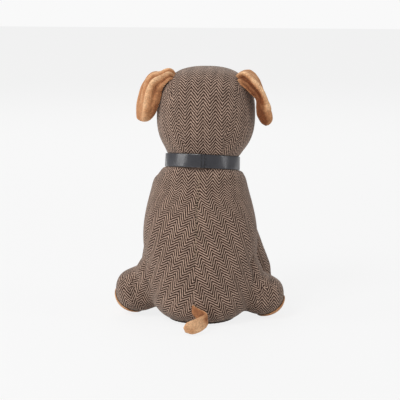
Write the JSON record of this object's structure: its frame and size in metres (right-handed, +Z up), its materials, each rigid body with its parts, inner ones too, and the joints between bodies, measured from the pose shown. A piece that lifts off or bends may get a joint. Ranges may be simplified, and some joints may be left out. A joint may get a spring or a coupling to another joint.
{
  "type": "weighted fabric door stop",
  "caption": "Sitting stuffed dog in herringbone tweed with suede ears and tail, a leatherette collar and a sand-filled base that holds a door.",
  "frame": {"origin": "middle of the flat base that the door stop stands on", "axes": "+Z up, the dog faces -Y and its back is towards +Y, its left side is +X"},
  "size_m": [0.1918, 0.187, 0.278],
  "materials": {
    "tweed": "matte",
    "base_cloth": "matte",
    "fibre": "matte",
    "sand": "matte",
    "suede": "matte",
    "leatherette": "satin",
    "eye_plastic": "gloss",
    "washer_plastic": "satin"
  },
  "bodies": {
    "root": {"body_cover": "tweed", "head_cover": "tweed", "foreleg_cover_left": "tweed", "foreleg_cover_right": "tweed", "base_panel": "base_cloth", "body_filling": "fibre", "head_filling": "fibre", "foreleg_filling_left": "fibre", "foreleg_filling_right": "fibre", "weight_bag": "sand", "sole_left": "suede", "sole_right": "suede", "ear_left": "suede", "ear_right": "suede", "tail": "suede", "collar": "leatherette", "nose": "leatherette", "eye_left": "eye_plastic", "eye_right": "eye_plastic", "eye_washer_left": "washer_plastic", "eye_washer_right": "washer_plastic"}
  },
  "joints": []
}
